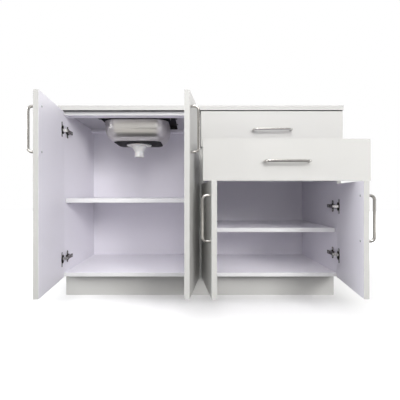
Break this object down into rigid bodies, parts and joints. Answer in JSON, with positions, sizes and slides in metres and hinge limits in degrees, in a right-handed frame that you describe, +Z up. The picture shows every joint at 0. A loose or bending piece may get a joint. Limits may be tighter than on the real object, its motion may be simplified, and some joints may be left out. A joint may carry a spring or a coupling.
{
  "type": "medical sink cabinet",
  "caption": "White clinic base cabinet run: a sink cupboard with doors beside a drawer and door cupboard, under one worktop with an inset steel sink.",
  "frame": {"origin": "on the floor, at mid width and mid carcass depth", "axes": "+X to the right along the cabinet's width seen from its front, +Y to its back, +Z up"},
  "size_m": [1.2014, 0.7553, 0.8252],
  "materials": {
    "white_board_face": "white melamine, fine satin",
    "white_board_inside": "white melamine, fine satin",
    "worktop_board": "white laminate, fine satin",
    "thin_back_board": "white faced hardboard",
    "drawer_board": "white melamine, fine satin",
    "handle_steel": "satin brushed",
    "hinge_nickel": "nickel plated",
    "slide_zinc": "zinc plated",
    "screw_zinc": "zinc plated",
    "sink_steel": "brushed stainless",
    "pad_bitumen": "black, slightly rough",
    "waste_plastic": "white moulded",
    "gasket_rubber": "black",
    "pin_zinc": "zinc plated"
  },
  "bodies": {
    "carcass": {"worktop": "worktop_board", "left_side": "white_board_face", "sink_inner_side": "white_board_face", "drawer_inner_side": "white_board_face", "right_side": "white_board_face", "sink_floor": "white_board_inside", "drawer_floor": "white_board_inside", "sink_front_rail": "white_board_inside", "top_rails": "white_board_inside", "sink_back": "thin_back_board", "drawer_back": "thin_back_board", "plinth_front": "white_board_face", "plinth_inner_boards": "white_board_face", "sink_shelf": "white_board_inside", "drawer_shelf": "white_board_inside", "shelf_pins": "pin_zinc", "hinge_arms": "hinge_nickel", "hinge_mounting_plates": "hinge_nickel", "hinge_plate_screws": "screw_zinc", "slide_cabinet_members": "slide_zinc", "sink_bowl": "sink_steel", "sound_pad": "pad_bitumen", "sink_clips": "slide_zinc", "waste_strainer": "sink_steel", "waste_gasket": "gasket_rubber", "waste_body": "waste_plastic"},
    "door_1": {"door_1_panel": "white_board_face", "door_1_handle": "handle_steel", "door_1_screws": "screw_zinc", "door_1_hinge_cups": "hinge_nickel"},
    "door_1_links": {"door_1_hinge_links": "hinge_nickel"},
    "door_2": {"door_2_panel": "white_board_face", "door_2_handle": "handle_steel", "door_2_screws": "screw_zinc", "door_2_hinge_cups": "hinge_nickel"},
    "door_2_links": {"door_2_hinge_links": "hinge_nickel"},
    "door_3": {"door_3_panel": "white_board_face", "door_3_handle": "handle_steel", "door_3_screws": "screw_zinc", "door_3_hinge_cups": "hinge_nickel"},
    "door_3_links": {"door_3_hinge_links": "hinge_nickel"},
    "door_4": {"door_4_panel": "white_board_face", "door_4_handle": "handle_steel", "door_4_screws": "screw_zinc", "door_4_hinge_cups": "hinge_nickel"},
    "door_4_links": {"door_4_hinge_links": "hinge_nickel"},
    "drawer_1": {"drawer_1_front": "white_board_face", "drawer_1_walls": "drawer_board", "drawer_1_bottom": "thin_back_board", "drawer_1_handle": "handle_steel", "drawer_1_screws": "screw_zinc", "drawer_1_slide_inners": "slide_zinc"},
    "drawer_1_middles": {"drawer_1_slide_middles": "slide_zinc"},
    "drawer_2": {"drawer_2_front": "white_board_face", "drawer_2_walls": "drawer_board", "drawer_2_bottom": "thin_back_board", "drawer_2_handle": "handle_steel", "drawer_2_screws": "screw_zinc", "drawer_2_slide_inners": "slide_zinc"},
    "drawer_2_middles": {"drawer_2_slide_middles": "slide_zinc"}
  },
  "joints": [
    {"name": "door_1_swing", "type": "hinge", "parent": "carcass", "child": "door_1", "pos_m": [-0.5914, -0.241, 0.6], "axis": [0, 0, 1], "range_deg": [-15.7, 84.3]},
    {"name": "door_1_link_swing", "type": "hinge", "parent": "carcass", "child": "door_1_links", "pos_m": [-0.564, -0.231, 0.6], "axis": [0, 0, -1], "range_deg": [-7.01, 37.19]},
    {"name": "door_2_swing", "type": "hinge", "parent": "carcass", "child": "door_2", "pos_m": [-0.0086, -0.241, 0.6], "axis": [0, 0, -1], "range_deg": [-2.1, 81.9]},
    {"name": "door_2_link_swing", "type": "hinge", "parent": "carcass", "child": "door_2_links", "pos_m": [-0.036, -0.231, 0.6], "axis": [0, 0, 1], "range_deg": [-1.02, 36.14]},
    {"name": "door_3_swing", "type": "hinge", "parent": "carcass", "child": "door_3", "pos_m": [0.0086, -0.241, 0.3], "axis": [0, 0, 1], "range_deg": [-4.7, 85.3]},
    {"name": "door_3_link_swing", "type": "hinge", "parent": "carcass", "child": "door_3_links", "pos_m": [0.036, -0.231, 0.3], "axis": [0, 0, -1], "range_deg": [-2.17, 37.63]},
    {"name": "door_4_swing", "type": "hinge", "parent": "carcass", "child": "door_4", "pos_m": [0.5914, -0.241, 0.3], "axis": [0, 0, -1], "range_deg": [-18.2, 81.8]},
    {"name": "door_4_link_swing", "type": "hinge", "parent": "carcass", "child": "door_4_links", "pos_m": [0.564, -0.231, 0.3], "axis": [0, 0, 1], "range_deg": [-8.11, 36.09]},
    {"name": "drawer_1_slide", "type": "slide", "parent": "carcass", "child": "drawer_1", "axis": [0, -1, 0], "range_m": [0, 0.38]},
    {"name": "drawer_1_middle_slide", "type": "slide", "parent": "carcass", "child": "drawer_1_middles", "axis": [0, -1, 0], "range_m": [0, 0.1901]},
    {"name": "drawer_2_slide", "type": "slide", "parent": "carcass", "child": "drawer_2", "axis": [0, -1, 0], "range_m": [-0.2113, 0.1687]},
    {"name": "drawer_2_middle_slide", "type": "slide", "parent": "carcass", "child": "drawer_2_middles", "axis": [0, -1, 0], "range_m": [-0.10575, 0.08445]}
  ],
  "couplings": [
    {"joint": "door_1_link_swing", "follows": "door_1_swing", "ratio": 0.44},
    {"joint": "door_2_link_swing", "follows": "door_2_swing", "ratio": 0.44},
    {"joint": "door_3_link_swing", "follows": "door_3_swing", "ratio": 0.44},
    {"joint": "door_4_link_swing", "follows": "door_4_swing", "ratio": 0.44},
    {"joint": "drawer_1_middle_slide", "follows": "drawer_1_slide", "ratio": 0.5},
    {"joint": "drawer_2_middle_slide", "follows": "drawer_2_slide", "ratio": 0.5}
  ]
}
